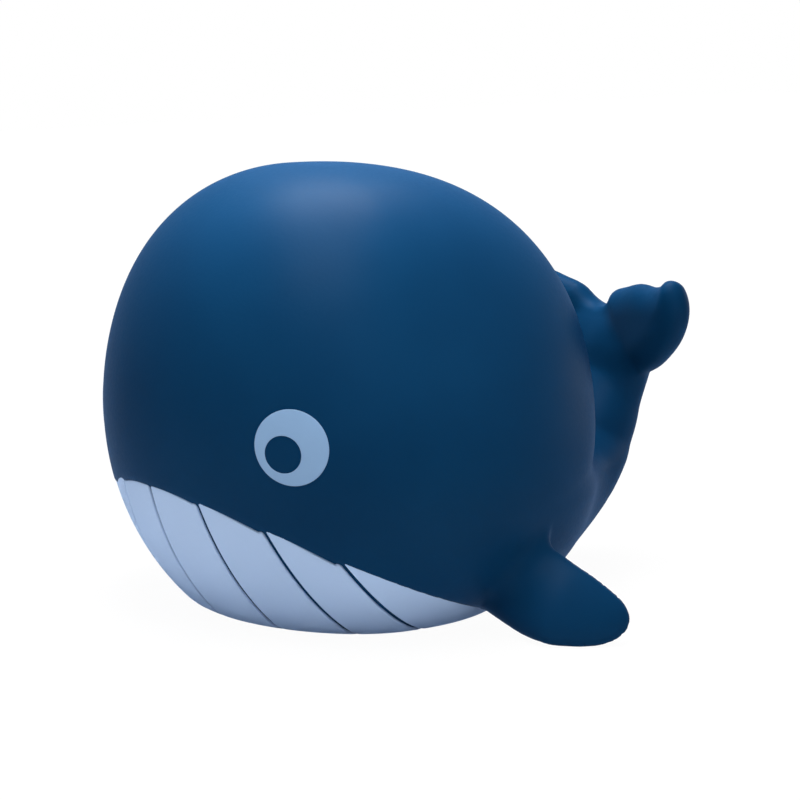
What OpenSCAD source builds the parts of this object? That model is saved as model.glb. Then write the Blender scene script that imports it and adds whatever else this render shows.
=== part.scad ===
// Squeaky bath whale: a hollow cast vinyl body with painted belly and eyes, and a squeaker in its base.
// Axes: X runs towards the nose, Y towards the whale's left side, Z up. The base rests on Z = 0.

/* [Head and body] */
// From the middle of the ball forward to the nose
nose_l = 33.5; // [30:0.1:38]
// From the middle of the ball back to its rear
rump_l = 45.8; // [40:0.1:50]
// From the middle of the ball up to the crown
crown_h = 38.8; // [34:0.1:44]
// From the middle of the ball down to where its curve would close
keel_h = 44.1; // [42:0.1:48]
// Height of the middle of the ball above the flat base
ride_h = 35.6; // [33:0.1:37.5]
// Width of the ball across both cheeks
cheek_w = 80; // [72:0.1:88]
// Fullness of the brow, 2 is an ellipse and more is squarer
brow_power = 2.12; // [2:0.01:2.6]
// Fullness of the back
back_power = 2.2; // [2:0.01:2.6]
// Fullness of the chin
chin_power = 1.87; // [1.8:0.01:2.2]
// Fullness of the lower rear
rear_power = 2.74; // [2.2:0.01:3.2]
// Fullness of the cheeks
cheek_power = 2.19; // [2:0.01:2.6]
// Rounding where the flat base turns up into the sides
base_round = 0.4; // [0.3:0.1:1.2]
// Thickness of the cast wall
wall_t = 2.6; // [2:0.1:3.5]

/* [Belly] */
// Height of the belly's edge below the middle of the ball, halfway back
lip_drop = 27.9; // [26:0.1:30]
// Slope of the belly's edge there, up towards the nose
lip_angle = 21.3; // [18:0.1:25]
// Distance of the belly's rear edge behind the middle of the ball
belly_back = 25.7; // [24:0.1:27]
// Angle between the middle groove and the next one
groove_step = 20.2; // [18:0.1:21]
// Forward lean of the axis that the grooves fan out from
groove_lean = 42.8; // [41:0.1:44]
// Width of a belly groove
groove_w = 0.7; // [0.5:0.05:1]
// Depth of a belly groove below the skin
groove_d = 0.4; // [0.3:0.05:0.5]
// Thickness of the pale belly layer
coat_t = 0.7; // [0.6:0.05:0.9]

/* [Eyes] */
// Diameter of the pale eye disc
eye_d = 12.2; // [10:0.1:14]
// Diameter of the pupil left open in it
pupil_d = 5.9; // [4:0.1:6.5]
// Distance of the pupil's middle from the disc's middle, forward
pupil_fore = 1.2; // [0.5:0.1:1.6]
// Distance of the pupil's middle below the disc's middle
pupil_low = 1.2; // [0.5:0.1:1.6]
// Turn of the eye from straight ahead to the side
eye_turn = 51; // [44:0.5:58]
// Height of the eye above the middle of the ball
eye_rise = -1.9; // [-5:0.1:3]
// Thickness of the eye print
eye_t = 0.25; // [0.2:0.05:0.4]

/* [Tail and flukes] */
// From the middle of the ball back to the rearmost point of the tail
tail_l = 68.8; // [65:0.1:72]
// Width of the tail's neck
tail_neck_w = 17; // [15:0.1:19]
// Depth of the tail's neck
tail_neck_t = 12; // [10:0.1:13]
// Span of both flukes
fluke_span = 49; // [44:0.1:54]
// Height of the flukes from their root to their tips
fluke_h = 18; // [16:0.1:20]
// Height of the flukes' tips above the middle of the ball
fluke_rise = 16.7; // [14:0.1:19]
// Thickness of a fluke at its middle
fluke_t = 6.4; // [5:0.1:7]

/* [Flippers] */
// Span across both flippers
flipper_span = 103; // [100:0.1:105]
// Length of a flipper from its front edge to its rear edge
flipper_w = 17.5; // [16:0.1:19]
// Thickness of a flipper where it leaves the body
flipper_t = 12; // [10:0.1:13]
// Height of the flippers' undersides above the surface the toy stands on
flipper_gap = 0.5; // [0.3:0.1:1.5]

/* [Squeaker] */
// Distance of the squeaker behind the middle of the ball
squeaker_back = 7; // [5:0.1:10]
// Diameter of the hole in the base
hole_d = 16.2; // [15:0.1:17]
// Diameter of the squeaker's outer flange
flange_d = 20; // [18.8:0.1:21]
// Thickness of the outer flange
flange_t = 1.2; // [1:0.1:1.4]
// Diameter of the lip that holds the squeaker inside the wall
barb_d = 18.4; // [17.6:0.1:19]
// Length of that lip
barb_l = 1.6; // [1.2:0.1:2]
// Diameter of the squeaker's barrel
barrel_d = 13.6; // [13:0.1:14.4]
// Height of the squeaker above its outer face
squeaker_h = 13; // [12:0.5:15]
// Diameter of the whistle that is pushed into the barrel
whistle_d = 9.8; // [9:0.1:10.4]
// Length of the whistle
whistle_l = 10; // [9:0.1:10.5]
// Diameter of the sound hole in the outer face
sound_d = 5; // [4:0.1:6]
// Width of the reed
reed_w = 3.4; // [3:0.1:4]
// Thickness of the reed
reed_t = 0.15; // [0.1:0.01:0.2]
// Length of the clamp that holds the reed
clamp_l = 4; // [3:0.1:4.5]
// Gap between the reed and the air channel's edges at rest
reed_gap = 0.2; // [0.15:0.01:0.3]

/* [Hidden] */

// Places along X: the ball's middle and the squeaker
head_x = (tail_l - nose_l) / 2;
squeaker_x = head_x - squeaker_back;

// Small clearances and overruns
fit_gap = 0.03;
cut_spare = 0.5;
spill = 0.2;
draft = 0.12;

// How finely the ball is divided
groove_count = 7;
groove_cols = 4;
side_cols = 8;
rear_cols = 24;
belly_rows = 15;
back_rows = 17;
// Where the belly ends on either side, as a turn from straight ahead round the groove axis
belly_turn = 74;
// Sharpness of the turn from the flat base into the sides
base_power = 30;

// Colours
navy = [0.03, 0.21, 0.35];
pale = [0.61, 0.69, 0.83];
eye_blue = [0.51, 0.63, 0.78];
milky = [0.92, 0.92, 0.9];
brass = [0.78, 0.6, 0.3];

function unit(v) = v / norm(v);
function mix(a, b, s) = a + (b - a) * s;

// Distance from the ball's middle to its skin in direction d, before the flat base.
// Each quarter of the side view is a superellipse, and so is every slice across it.
// The cheeks are a little fuller towards the front and the base.
cheek_back_share = 0.09;
cheek_low_share = 0.06;
tiny_share = 0.000001;
function ball_r(d) =
  let (
    m = max(norm([d.x, d.z]), tiny_share),
    c = d.x / m,
    s = d.z / m,
    along = c >= 0 ? nose_l : rump_l,
    high = s >= 0 ? crown_h : keel_h,
    power = c >= 0 ? (s >= 0 ? brow_power : chin_power) : (s >= 0 ? back_power : rear_power),
    side_r = pow(pow(abs(c) / along, power) + pow(abs(s) / high, power), -1 / power),
    full_r = pow(
      pow(m / side_r, cheek_power) + pow(abs(d.y) * 2 / cheek_w, cheek_power),
      -1 / cheek_power
    )
  )
  full_r * (1 - d.y * d.y * (cheek_back_share * d.x + cheek_low_share * d.z));

// The same, turned softly into the flat base where d points down
down_share = -0.1;
function soft_r(d) =
  d.z > down_share ? ball_r(d)
  : pow(
      pow(ball_r(d), -base_power) + pow((ride_h + base_round) / -d.z, -base_power),
      -1 / base_power
    );

// Distance to a layer at a depth below the skin, and no lower than drop below the ball's middle
function layer_r(d, depth, drop) =
  let (r = soft_r(d) - depth)
  d.z < down_share ? min(r, drop / -d.z) : r;
function outer_r(d) = layer_r(d, 0, ride_h + spill);

// Direction at a turn around the leaning groove axis and a latitude from its middle.
// The axis leaves the base behind the belly, and the grooves fan out forward from there.
axis_dir = [sin(groove_lean), 0, cos(groove_lean)];
function aim(turn, lat) =
  cos(lat) * cos(turn) * [axis_dir.z, 0, -axis_dir.x]
  + cos(lat) * sin(turn) * [0, 1, 0]
  + sin(lat) * axis_dir;

// Point of a layer in direction d
function place(d, r) = [head_x + r * d.x, r * d.y, ride_h + r * d.z];

// Latitude at which a turn crosses the belly's straight rear edge on the base
belly_reach = ride_h * tan(groove_lean) - belly_back;
function belly_low(turn) =
  asin(unit([-belly_back, belly_reach * tan(turn) * cos(groove_lean), -ride_h]) * axis_dir);

// Latitude of the belly's front edge at a turn, found by halving
lip_bow_share = 0.117;
function lip_lat(turn, low, high, left) =
  let (
    m = (low + high) / 2,
    d = aim(turn, m),
    r = outer_r(d),
    x = r * d.x,
    over = r * d.z > x * tan(lip_angle) + lip_bow_share * x * x / nose_l - lip_drop
  )
  left == 0 ? m : over ? lip_lat(turn, low, m, left - 1) : lip_lat(turn, m, high, left - 1);
least_lat = 1;
lip_top_lat = 40;
halvings = 14;
function belly_high(turn) =
  let (low = belly_low(turn) + least_lat)
  max(low, lip_lat(turn, low, lip_top_lat, halvings));

// Turn of a column that keeps a set distance beside its groove
function beside(turn, off, lat) =
  let (d = aim(turn, lat))
  turn + asin(off / (outer_r(d) * cos(lat)));

// Columns round the ball: turn, distance beside it, and layer (0 skin, 1 groove, 2 belly bed)
groove_edge = groove_w / 2;
bed_edge = groove_edge + draft;
half_grooves = (groove_count - 1) / 2;
groove_close_share = 0.017;
function groove_turn(g) = groove_step * g * (1 - groove_close_share * g * g);
function between(from, to, n) = [for (i = [1:n - 1]) mix(from, to, i / n)];
function bed_cols(from, to, n) = [for (c = between(from, to, n)) [c[0], c[1], 2]];
last_turn = groove_turn(half_grooves);
front_cols = concat(
  [[-belly_turn, 0, 0], [-belly_turn, draft, 2]],
  bed_cols([-belly_turn, draft], [-last_turn, -bed_edge], side_cols),
  [
    for (g = [-half_grooves:half_grooves]) each concat(
      [
        [groove_turn(g), -bed_edge, 2],
        [groove_turn(g), -groove_edge, 1],
        [groove_turn(g), groove_edge, 1],
        [groove_turn(g), bed_edge, 2]
      ],
      g == half_grooves ? []
      : bed_cols([groove_turn(g), bed_edge], [groove_turn(g + 1), -bed_edge], groove_cols)
    )
  ],
  bed_cols([last_turn, bed_edge], [belly_turn, -draft], side_cols),
  [[belly_turn, -draft, 2], [belly_turn, 0, 0]]
);
columns = concat(
  front_cols,
  [for (t = between(belly_turn, 360 - belly_turn, rear_cols)) [t, 0, 0]]
);
pole_share = 0.6;
draft_lat = 0.2;

// One column of skin points, from the pole behind the belly round to the forehead
function skin_column(col) =
  let (
    held = min(col[0], belly_turn),
    low = belly_low(held),
    high = belly_high(held),
    lats = concat(
      [[mix(-90, low, pole_share), 0], [low - draft_lat, 0]],
      [for (i = [0:belly_rows]) [mix(low, high, i / belly_rows), 1]],
      [[high + draft_lat, 0]],
      [for (i = [1:back_rows - 1]) [mix(high, 90, i / back_rows), 0]]
    )
  )
  [
    for (l = lats)
      let (
        lat = l[0],
        turn = beside(col[0], col[1], min(lat, high)),
        d = aim(turn, lat),
        layer = l[1] * col[2],
        depth = layer == 0 ? 0 : layer == 1 ? groove_d : coat_t,
        drop = layer == 0 ? ride_h + spill : ride_h - depth
      )
      place(d, layer_r(d, depth, drop))
  ];

// Closed solid from columns of points that all run from one pole to the other
module globe(cols, bottom, top) {
  n = len(cols);
  m = len(cols[0]);
  points = concat([bottom, top], [for (c = cols) each c]);
  function at(i, j) = 2 + (i % n) * m + j;
  faces = concat(
    [for (i = [0:n - 1]) [0, at(i, 0), at(i + 1, 0)]],
    [
      for (i = [0:n - 1], j = [0:m - 2]) each [
        [at(i, j), at(i, j + 1), at(i + 1, j + 1)],
        [at(i, j), at(i + 1, j + 1), at(i + 1, j)]
      ]
    ],
    [for (i = [0:n - 1]) [1, at(i + 1, m - 1), at(i, m - 1)]]
  );
  polyhedron(points, faces);
}

// Closed solid through a row of rings, with a flat cap on each end
module rings_solid(rings) {
  n = len(rings[0]);
  m = len(rings);
  points = [for (r = rings) each r];
  function at(i, j) = i * n + (j % n);
  faces = concat(
    [[for (j = [n - 1:-1:0]) at(0, j)]],
    [
      for (i = [0:m - 2], j = [0:n - 1]) each [
        [at(i, j), at(i + 1, j + 1), at(i + 1, j)],
        [at(i, j), at(i, j + 1), at(i + 1, j + 1)]
      ]
    ],
    [[for (j = [0:n - 1]) at(m - 1, j)]]
  );
  polyhedron(points, faces);
}

// Closed slab between an outer and an inner sheet of points with as many rows and columns
module slab(outer, inner) {
  m = len(outer);
  n = len(outer[0]);
  points = concat([for (r = outer) each r], [for (r = inner) each r]);
  function at(k, i, j) = k * m * n + i * n + j;
  rim = concat(
    [for (j = [0:n - 2]) [0, j]],
    [for (i = [0:m - 2]) [i, n - 1]],
    [for (j = [n - 1:-1:1]) [m - 1, j]],
    [for (i = [m - 1:-1:1]) [i, 0]]
  );
  count = len(rim);
  faces = concat(
    [
      for (i = [0:m - 2], j = [0:n - 2]) each [
        [at(0, i, j), at(0, i, j + 1), at(0, i + 1, j + 1)],
        [at(0, i, j), at(0, i + 1, j + 1), at(0, i + 1, j)],
        [at(1, i, j), at(1, i + 1, j + 1), at(1, i, j + 1)],
        [at(1, i, j), at(1, i + 1, j), at(1, i + 1, j + 1)]
      ]
    ],
    [
      for (k = [0:count - 1])
        let (a = rim[k], b = rim[(k + 1) % count])
        each [
          [at(0, a[0], a[1]), at(1, a[0], a[1]), at(1, b[0], b[1])],
          [at(0, a[0], a[1]), at(1, b[0], b[1]), at(0, b[0], b[1])]
        ]
    ]
  );
  polyhedron(points, faces);
}

// The ball's cast cavity, one wall inside the skin
cavity_cols = 36;
cavity_rows = 18;
module ball_cavity() {
  drop = ride_h - wall_t;
  function spot(turn, lat) = let (d = aim(turn, lat)) place(d, layer_r(d, wall_t, drop));
  globe(
    [
      for (i = [0:cavity_cols - 1])
        [for (j = [1:cavity_rows - 1]) spot(360 * i / cavity_cols, mix(-90, 90, j / cavity_rows))]
    ],
    spot(0, -90),
    spot(0, 90)
  );
}

module ball_skin() {
  low = aim(0, -90);
  high = aim(0, 90);
  globe([for (c = columns) skin_column(c)], place(low, outer_r(low)), place(high, outer_r(high)));
}

// Point at place s along a smooth curve through the rows of a list, which may run in a circle
function smooth(a, b, c, e, t) =
  b + t * (c - a) / 2 + t * t * (a - 2.5 * b + 2 * c - e / 2) + t * t * t * (3 * b - a - 3 * c + e) / 2;
function glide(list, s) =
  let (top = len(list) - 1, i = min(floor(s), top - 1))
  smooth(list[max(i - 1, 0)], list[i], list[i + 1], list[min(i + 2, top)], s - i);
function circle_glide(list, s) =
  let (n = len(list), i = floor(s))
  smooth(list[(i + n - 1) % n], list[i % n], list[(i + 1) % n], list[(i + 2) % n], s - i);

// Tail: a tube in the middle plane that runs back low and curls up behind the back.
// Each row gives its place back and up, as shares of the tail's length and the ride height,
// then its depth and width, as shares of the neck's.
tail_shares = [
  [0.21, 0.44, 2.3, 2.8],
  [0.45, 0.398, 2.15, 2.6],
  [0.646, 0.398, 1.92, 1.9],
  [0.773, 0.51, 1.4, 1.42],
  [0.856, 0.72, 1.2, 1.18],
  [0.9084, 0.93, 1.05, 1.02],
  [0.913, 1.112, 0.83, 0.94],
  [0.916, 1.252, 0.47, 0.7]
];
tail_end = len(tail_shares) - 1;
tail_hollow_end = 5;
tail_steps = 3;
tail_sides = 24;
tail_power = 2.2;
way_step = 0.05;
function tail_spot(s) =
  let (row = glide(tail_shares, s))
  [head_x - tail_l * row[0], 0, ride_h * row[1]];
function oval(a, power) =
  let (c = cos(a), s = sin(a))
  [sign(c) * pow(abs(c), 2 / power), sign(s) * pow(abs(s), 2 / power)];
function tail_ring(s, inset) =
  let (
    row = glide(tail_shares, s),
    way = unit(tail_spot(min(s + way_step, tail_end)) - tail_spot(max(s - way_step, 0))),
    up = [way.z, 0, -way.x],
    deep = tail_neck_t / 2 * row[2] - inset,
    wide = tail_neck_w / 2 * row[3] - inset
  )
  [
    for (j = [0:tail_sides - 1])
      let (p = oval(360 * j / tail_sides, tail_power))
      tail_spot(s) + up * deep * p.y + [0, wide * p.x, 0]
  ];
module tail_skin() {
  rings_solid([for (i = [0:tail_end * tail_steps]) tail_ring(i / tail_steps, 0)]);
}
module tail_cavity() {
  rings_solid([for (i = [0:tail_hollow_end * tail_steps]) tail_ring(i / tail_steps, wall_t)]);
}

// One fluke: a pillow over a lobe with a bumpy top edge. Its outline is given across and up,
// as shares of half the span and of the flukes' height.
lobe_shares = [
  [-0.25, 0.16],
  [-0.2, 0.41],
  [-0.06, 0.6],
  [0.09, 0.69],
  [0.205, 0.79],
  [0.348, 0.88],
  [0.492, 0.918],
  [0.627, 0.911],
  [0.738, 0.965],
  [0.844, 1],
  [0.939, 0.939],
  [0.992, 0.778],
  [0.98, 0.6],
  [0.893, 0.389],
  [0.73, 0.2],
  [0.533, 0.044],
  [0.246, -0.067],
  [-0.041, -0.067]
];
lobe_mid_share = [0.4, 0.47];
fluke_back_share = 0.903;
fluke_lean_share = 0.11;
fluke_sweep_share = 0.03;
lobe_steps = 2;
lobe_layers = 4;
lobe_edge_power = 0.35;
lobe_tilt = 88;
module left_fluke() {
  points = len(lobe_shares) * lobe_steps;
  rings_solid([
    for (k = [-lobe_layers:lobe_layers]) [
      for (j = [0:points - 1])
        let (
          tilt = lobe_tilt * k / lobe_layers,
          edge = circle_glide(lobe_shares, j / lobe_steps),
          p = mix(lobe_mid_share, edge, pow(cos(tilt), lobe_edge_power)),
          y = p.x * fluke_span / 2,
          z = fluke_rise - fluke_h * (1 - p.y)
        )
        [
          head_x - tail_l * fluke_back_share + z * fluke_lean_share + y * fluke_sweep_share
            + fluke_t / 2 * sin(tilt),
          y,
          ride_h + z
        ]
    ]
  ]);
}

module flukes() {
  left_fluke();
  mirror([0, 1, 0]) left_fluke();
}

// One flipper: slices from inside the body out to the tip, pitched with the rear edge up.
// Each row gives its place outwards and back, as shares of half the span and of the flipper's
// length, then its length, thickness and lift, the last two as shares of the thickness.
flipper_shares = [
  [0.43, 1.1, 0.971, 1, 0.25],
  [0.585, 1.02, 0.98, 0.95, 0.133],
  [0.7, 1.02, 0.94, 0.86, 0.042],
  [0.785, 1.05, 0.86, 0.71, 0.008],
  [0.873, 1.11, 0.77, 0.56, 0],
  [0.931, 1.17, 0.7, 0.47, 0],
  [0.976, 1.22, 0.55, 0.35, 0.033],
  [0.998, 1.26, 0.24, 0.17, 0.11]
];
flipper_pitches = [66, 66, 58, 42, 25, 18, 12, 8];
flipper_steps = 2;
flipper_sides = 20;
function flipper_ring(s) =
  let (
    row = glide(flipper_shares, s),
    pitch = glide(flipper_pitches, s),
    chord = flipper_w / 2 * row[2],
    thick = flipper_t / 2 * row[3],
    fall = norm([chord * sin(pitch), thick * cos(pitch)]),
    rise = flipper_gap + fall + flipper_t * row[4]
  )
  [
    for (j = [0:flipper_sides - 1])
      let (a = 360 * j / flipper_sides)
      [
        head_x - flipper_w * row[1] + chord * cos(a) * cos(pitch) + thick * sin(a) * sin(pitch),
        flipper_span / 2 * row[0],
        rise - chord * cos(a) * sin(pitch) + thick * sin(a) * cos(pitch)
      ]
  ];
module left_flipper() {
  last = len(flipper_shares) - 1;
  rings_solid([for (i = [0:last * flipper_steps]) flipper_ring(i / flipper_steps)]);
}

module flippers() {
  left_flipper();
  mirror([0, 1, 0]) left_flipper();
}

// The squeaker's seat, measured up from the base
turned_sides = 72;
seat_gap = 0.3;
seat_r = flange_d / 2 + seat_gap;
flange_gap = 0.5;
flange_top = flange_gap + flange_t;
hole_top = flange_top + wall_t;
rim_extra = 3;
module squeaker_rim() {
  translate([squeaker_x, 0, wall_t / 2])
    cylinder(h = hole_top - wall_t / 2, d = barb_d + 2 * rim_extra, $fn = turned_sides);
}
module squeaker_seat() {
  translate([squeaker_x, 0, -cut_spare])
    cylinder(h = flange_top + cut_spare, r = seat_r, $fn = turned_sides);
}
module squeaker_hole() {
  squeaker_seat();
  translate([squeaker_x, 0, -cut_spare])
    cylinder(h = hole_top + 2 * cut_spare, d = hole_d, $fn = turned_sides);
}
module below_base() {
  translate([-tail_l, -flipper_span, -ride_h]) cube([2 * tail_l, 2 * flipper_span, ride_h]);
}

module body_shell() {
  color(navy) difference() {
    union() {
      difference() {
        union() {
          ball_skin();
          tail_skin();
          flukes();
          flippers();
        }
        ball_cavity();
        tail_cavity();
      }
      squeaker_rim();
    }
    squeaker_hole();
    below_base();
  }
}

// Eight pale panels between the grooves, laid in the bed in the skin and cut round the tail,
// the flippers and the squeaker's seat
panel_sink = 0.12;
module belly_panel(from, to, cols) {
  spare = [0, fit_gap];
  places = concat([from + spare], between(from, to, cols), [to - spare]);
  function sheet(depth, drop) = [
    for (c = places)
      let (low = belly_low(c[0]), high = belly_high(c[0]))
      [
        for (i = [0:belly_rows])
          let (
            lat = i == 0 ? low + draft_lat
            : i == belly_rows ? high - draft_lat
            : mix(low, high, i / belly_rows),
            turn = beside(c[0], c[1], lat),
            d = aim(turn, lat)
          )
          place(d, layer_r(d, depth, drop))
      ]
  ];
  slab(sheet(panel_sink, ride_h + spill), sheet(coat_t - fit_gap, ride_h - coat_t + fit_gap));
}
module belly_panels() {
  color(pale) difference() {
    union() {
      belly_panel([-belly_turn, draft], [-last_turn, -bed_edge], side_cols);
      for (g = [-half_grooves:half_grooves - 1])
        belly_panel([groove_turn(g), bed_edge], [groove_turn(g + 1), -bed_edge], groove_cols);
      belly_panel([last_turn, bed_edge], [belly_turn, -draft], side_cols);
    }
    squeaker_seat();
    below_base();
    tail_skin();
    flippers();
  }
}

// Eye: a thin ring round an open pupil, printed on the cheek
eye_sides = 48;
eye_rings = 3;
print_lift = 0.04;
module left_eye_print() {
  out = [cos(eye_turn), sin(eye_turn), 0];
  mid = unit(ball_r(out) * out + [0, 0, eye_rise]);
  side = unit([-mid.y, mid.x, 0]);
  top = cross(mid, side);
  span = ball_r(mid);
  function spot(a, s) =
    let (
      pupil = [-pupil_fore, -pupil_low] + pupil_d / 2 * [cos(a), sin(a)],
      edge = eye_d / 2 * [cos(a), sin(a)],
      p = mix(pupil, edge, s)
    )
    unit(mid * span + side * p.x + top * p.y);
  function ring(s, lift) = [
    for (k = [0:eye_sides - 1])
      let (d = spot(360 * k / eye_sides, s))
      place(d, ball_r(d) + lift)
  ];
  outer = [for (i = [0:eye_rings]) ring(i / eye_rings, print_lift + eye_t)];
  inner = [for (i = [eye_rings:-1:0]) ring(i / eye_rings, print_lift)];
  color(eye_blue) loop_solid(concat(outer, inner));
}

// Closed ring-shaped solid through rings that lead back to the first one
module loop_solid(rings) {
  n = len(rings[0]);
  m = len(rings);
  points = [for (r = rings) each r];
  function at(i, j) = (i % m) * n + (j % n);
  faces = [
    for (i = [0:m - 1], j = [0:n - 1]) each [
      [at(i, j), at(i + 1, j + 1), at(i + 1, j)],
      [at(i, j), at(i, j + 1), at(i + 1, j + 1)]
    ]
  ];
  polyhedron(points, faces);
}
module right_eye_print() {
  mirror([0, 1, 0]) left_eye_print();
}

// Squeaker: a turned plug that snaps into the hole in the base, with the whistle pushed in above
floor_t = 1.5;
bore_r = whistle_d / 2 + fit_gap;
module squeaker_plug() {
  top = flange_gap + squeaker_h;
  neck_r = hole_d / 2 - fit_gap;
  color(milky) translate([squeaker_x, 0, 0]) rotate_extrude($fn = turned_sides)
    polygon([
      [sound_d / 2, flange_gap],
      [flange_d / 2, flange_gap],
      [flange_d / 2, flange_top],
      [neck_r, flange_top],
      [neck_r, hole_top],
      [barb_d / 2, hole_top],
      [barrel_d / 2, hole_top + barb_l],
      [barrel_d / 2, top],
      [bore_r, top],
      [bore_r, flange_gap + floor_t],
      [sound_d / 2, flange_gap + floor_t]
    ]);
}

// The whistle's places: its foot on the plug's floor, the reed's plane and the clamp's mouth
whistle_foot = flange_gap + floor_t;
whistle_top = whistle_foot + whistle_l;
reed_x = 0.5;
clamp_mouth = whistle_top - clamp_l;
channel_land = 0.4;
channel_w = reed_w - 2 * channel_land;
channel_d = 2.4;
module whistle_rod(foot, length) {
  translate([0, 0, foot]) cylinder(h = length, d = whistle_d, $fn = turned_sides);
}
module from_plane(x) {
  translate([x, -whistle_d, 0]) cube([whistle_d, 2 * whistle_d, whistle_top + whistle_d]);
}
module whistle_trough() {
  color(milky) translate([squeaker_x, 0, 0]) difference() {
    whistle_rod(whistle_foot, whistle_l);
    from_plane(reed_x);
    translate([reed_x - reed_gap, -whistle_d, 0])
      cube([whistle_d, 2 * whistle_d, clamp_mouth]);
    translate([reed_x - channel_d, -channel_w / 2, 0])
      cube([whistle_d, channel_w, clamp_mouth - channel_w / 2]);
  }
}
module whistle_wedge() {
  color(milky) translate([squeaker_x, 0, 0]) intersection() {
    whistle_rod(clamp_mouth, clamp_l);
    from_plane(reed_x + reed_t);
  }
}

// The reed is one brass strip: its root is held in the clamp, and its tongue beats below it
module reed_strip(foot, length) {
  color(brass) translate([squeaker_x + reed_x, -reed_w / 2, foot]) cube([reed_t, reed_w, length]);
}
tongue_gap = 0.05;
tongue_clear = 0.6;
tongue_foot = whistle_foot + tongue_clear;
module reed_root() {
  reed_strip(clamp_mouth, clamp_l);
}
module reed_tongue() {
  reed_strip(tongue_foot, clamp_mouth - tongue_gap - tongue_foot);
}

body_shell();
belly_panels();
left_eye_print();
right_eye_print();
squeaker_plug();
whistle_trough();
whistle_wedge();
reed_root();
reed_tongue();
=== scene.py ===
"""Squeaky bath whale, dressed for its photograph. Lengths are in millimetres until a mesh is made.

The whale stands on Z = 0 and looks along +X. Its left side is towards +Y. Body, belly and eyes are
worked out from the ball's middle, and move into the frame as their meshes are made.
"""

import math

import bpy
import numpy as np
from mathutils import Matrix


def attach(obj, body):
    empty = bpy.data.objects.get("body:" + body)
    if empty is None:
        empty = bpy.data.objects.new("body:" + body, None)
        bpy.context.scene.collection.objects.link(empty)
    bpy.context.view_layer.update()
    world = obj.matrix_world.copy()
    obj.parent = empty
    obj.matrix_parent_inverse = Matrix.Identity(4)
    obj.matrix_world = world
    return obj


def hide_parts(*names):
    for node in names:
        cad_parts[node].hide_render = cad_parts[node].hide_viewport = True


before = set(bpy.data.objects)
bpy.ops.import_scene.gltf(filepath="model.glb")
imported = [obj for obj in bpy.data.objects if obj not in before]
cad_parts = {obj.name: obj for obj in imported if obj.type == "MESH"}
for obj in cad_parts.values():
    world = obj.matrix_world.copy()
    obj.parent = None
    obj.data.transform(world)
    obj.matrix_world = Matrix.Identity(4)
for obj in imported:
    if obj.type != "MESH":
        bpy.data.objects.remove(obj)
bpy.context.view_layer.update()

# Camera: a long lens at the whale's left front, a little above it, as the toy was photographed.
# It looks past the ball's middle on the tail's side, so that the whole toy is in the frame.
mm = 0.001
ball_middle = np.array([17.65, 0.0, 35.6])
camera_turn = math.radians(55)
camera_tilt = math.radians(10)
toward_camera = np.array([math.cos(camera_turn), math.sin(camera_turn), 0.0])
camera_right = np.array([-math.sin(camera_turn), math.cos(camera_turn), 0.0])
camera_back = math.cos(camera_tilt) * toward_camera + [0, 0, math.sin(camera_tilt)]
camera_up = np.cross(camera_back, camera_right)
camera_far = 480.0
camera_aside = 14.37
camera_raised = -0.96
lens = bpy.data.cameras.new("photo_lens")
lens.lens = 129.6
lens.sensor_width = 36.0
camera = bpy.data.objects.new("photo_camera", lens)
bpy.context.scene.collection.objects.link(camera)
camera_place = (
    ball_middle
    + camera_far * camera_back
    + camera_aside * camera_right
    + camera_raised * camera_up
)


def placement(right, up, back, place):
    """Matrix that turns an object to three axes and puts it at a place in millimetres."""
    matrix = np.eye(4)
    matrix[:3, 0] = right
    matrix[:3, 1] = up
    matrix[:3, 2] = back
    matrix[:3, 3] = place * mm
    return Matrix(matrix.tolist())


camera.matrix_world = placement(camera_right, camera_up, camera_back, camera_place)
bpy.context.scene.camera = camera

# Body shell: one hollow casting of soft navy vinyl. Ball, tail, flukes and flippers flow into each
# other with the fillets of the wax pattern, so they are one field of distances and one mesh. A
# shallow bed in chin and base takes the belly's paint.
nose = 33.9
rump = 45.7
crown = 38.5
keel = 43.4
cheek = 40.2
front_powers = (1.97, 1.94)
rear_powers = (2.33, 2.15)
power_across = 2.21
ride = 35.6
base_turn = 1.7
net_pitch = 0.66


def unit(v):
    """A vector, or each row of an array of vectors, divided by its length."""
    return v / np.linalg.norm(v, axis=-1, keepdims=True)


def joined(a, b, soft):
    """Smooth union: the smaller of two distances, less (soft - |a - b|)^2 / (4 soft) near a tie."""
    near = np.maximum(soft - np.abs(a - b), 0)
    return np.minimum(a, b) - near * near / (4 * soft)


def carved(a, b, soft):
    """Smooth cut: the larger of two distances, rounded in the same way as a smooth union."""
    return -joined(-a, -b, soft)


def ramp(x, start, end):
    """0 before start, 1 after end, and 3t^2 - 2t^3 between them."""
    t = np.clip((x - start) / (end - start), 0, 1)
    return t * t * (3 - 2 * t)


def ball_reach(x, y, z):
    """Distance from the ball's middle to its skin along a unit direction.

    In side view each quarter is a superellipse through two of nose, rump, crown and keel. Every
    slice across is a superellipse between that radius and the cheek. Off the middle plane the
    reach is then drawn in by y squared times a small cubic in x and z.
    """
    m = np.maximum(np.sqrt(x * x + z * z), 1e-6)
    c, s = x / m, z / m
    along = np.where(c >= 0, nose, rump)
    high = np.where(s >= 0, crown, keel)
    power = np.where(c >= 0, np.where(s >= 0, *front_powers), np.where(s >= 0, *rear_powers))
    side = ((np.abs(c) / along) ** power + (np.abs(s) / high) ** power) ** (-1 / power)
    share = (m / side) ** power_across + (np.abs(y) / cheek) ** power_across
    drawn_in = 0.025 * x + 0.294 * z - 0.188 * x * z + 0.014 * x * x
    drawn_in = drawn_in + 0.178 * x**3 - 0.328 * z**3 - 0.138 * x * x * z
    return share ** (-1 / power_across) * (1 - y * y * drawn_in)


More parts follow.
